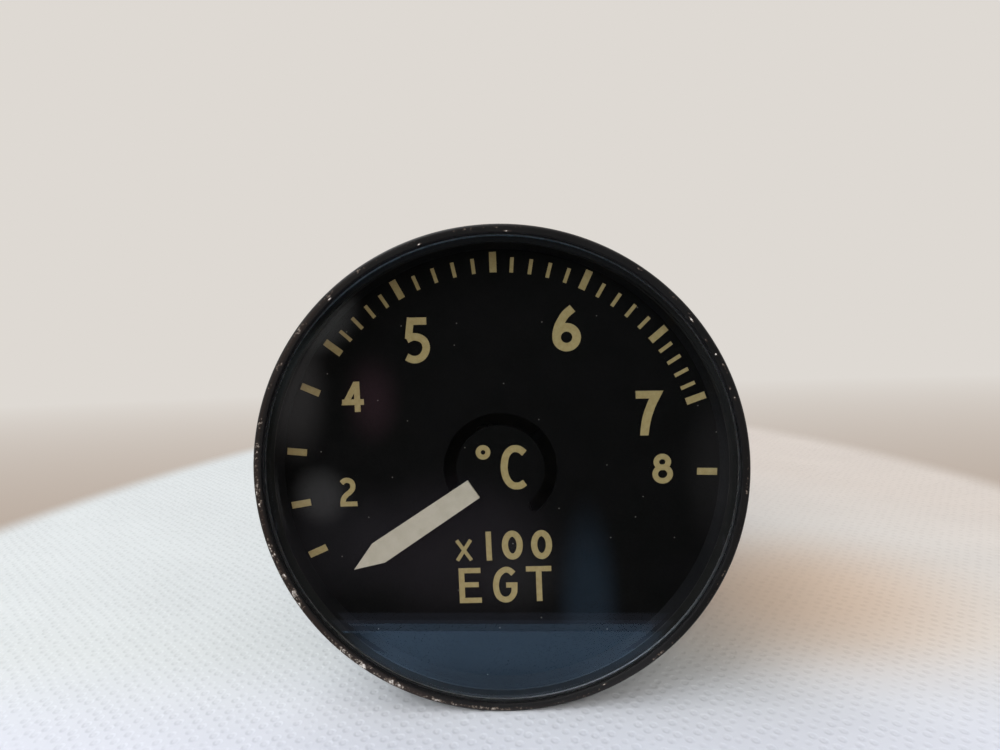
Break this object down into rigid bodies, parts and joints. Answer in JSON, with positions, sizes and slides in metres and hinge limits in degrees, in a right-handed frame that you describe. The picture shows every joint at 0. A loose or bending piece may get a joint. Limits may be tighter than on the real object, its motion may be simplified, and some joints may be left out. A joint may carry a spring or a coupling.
{
  "type": "exhaust gas temperature gauge",
  "caption": "Round panel gauge with a long C-shaped scale under flat glass, a pointer cranked through a slot in the dial, a plain cylindrical case and rear terminals.",
  "frame": {"origin": "on the gauge's axis, in the plane of the bezel's back face that sits on the panel", "axes": "+Y along the case to the rear terminals (the glass faces -Y), +Z to the top of the dial, +X to the right of the dial as it is read"},
  "size_m": [0.0572, 0.0832, 0.0572],
  "materials": {
    "bezel_paint": "black stoved paint on aluminium, chipped",
    "window_glass": "clear, polished, bevelled edge",
    "sealant": "black, matte",
    "seal_rubber": "black, matte",
    "mask_paint": "matte black",
    "dial_paint": "matte black",
    "mark_paint": "matte khaki cream",
    "pointer_paint": "matte pale cream",
    "crank_paint": "matte black",
    "plate_brass": "lacquered",
    "black_brass": "chemically blackened",
    "small_brass": "turned",
    "steel": "turned, bright",
    "soft_iron": "ground, oiled",
    "magnet_alloy": "cast and ground",
    "former_aluminium": "thin sheet",
    "coil_copper": "enamelled wire",
    "spring_bronze": "rolled strip",
    "bimetal": "rolled strip",
    "bobbin_moulding": "brown phenolic",
    "resistance_wire": "varnished wire",
    "red_lead": "sleeved wire",
    "blue_lead": "sleeved wire",
    "case_paint": "black crackle-free stoved paint",
    "gasket_rubber": "black, matte",
    "screw_black": "blackened",
    "block_moulding": "dark phenolic",
    "positive_alloy": "thermocouple alloy, dull",
    "negative_alloy": "thermocouple alloy, dull",
    "fibre": "pressed fibre",
    "nut_plate": "dull nickel plate"
  },
  "bodies": {
    "root": {"bezel": "bezel_paint", "glass": "window_glass", "glazing_bead": "sealant", "glass_seal": "seal_rubber", "dial_mask": "mask_paint", "dial_plate": "dial_paint", "scale_marks": "mark_paint", "rear_hairspring": "spring_bronze", "front_bridge": "black_brass", "bridge_screws": "screw_black", "front_jewel_screw": "small_brass", "rear_jewel_screw": "small_brass", "rear_jewel_nut": "small_brass", "front_plate": "black_brass", "stop_pins": "steel", "dial_feet": "plate_brass", "core_ring": "soft_iron", "pole_ring": "soft_iron", "magnet": "magnet_alloy", "core_brackets": "plate_brass", "bracket_screws": "steel", "yoke_pillars": "plate_brass", "yoke_spacers": "plate_brass", "yoke_nuts": "steel", "rear_plate": "plate_brass", "movement_screws": "steel", "bimetal_compensator": "bimetal", "resistor_bobbins": "bobbin_moulding", "resistor_windings": "resistance_wire", "bobbin_screws": "steel", "positive_lead": "red_lead", "negative_lead": "blue_lead", "case_barrel": "case_paint", "rear_gasket": "gasket_rubber", "rear_cover": "case_paint", "cover_screws": "screw_black", "terminal_block": "block_moulding", "block_screws": "steel", "positive_stud": "positive_alloy", "negative_stud": "negative_alloy", "stud_bushes": "fibre", "terminal_washers": "steel", "terminal_nuts": "nut_plate", "inner_nuts": "nut_plate", "solder_tags": "nut_plate"},
    "moving_element": {"pointer": "pointer_paint", "pointer_crank": "crank_paint", "trim_weights": "small_brass", "staff": "steel", "coil_former": "former_aluminium", "coil_winding": "coil_copper", "coil_carrier": "small_brass", "counterweight": "small_brass", "spring_collets": "small_brass"},
    "zero_adjuster": {"zero_arm": "black_brass", "front_hairspring": "spring_bronze"}
  },
  "joints": [
    {"name": "pointer_sweep", "type": "hinge", "parent": "root", "child": "moving_element", "pos_m": [0, 0, 0], "axis": [0, 1, 0], "range_deg": [-5, 221], "stiffness_Nm_per_rad": 0.00004, "deforming": ["front_hairspring", "rear_hairspring"]},
    {"name": "zero_set", "type": "hinge", "parent": "root", "child": "zero_adjuster", "pos_m": [0, 0, 0], "axis": [0, 1, 0], "range_deg": [-8, 8]}
  ]
}
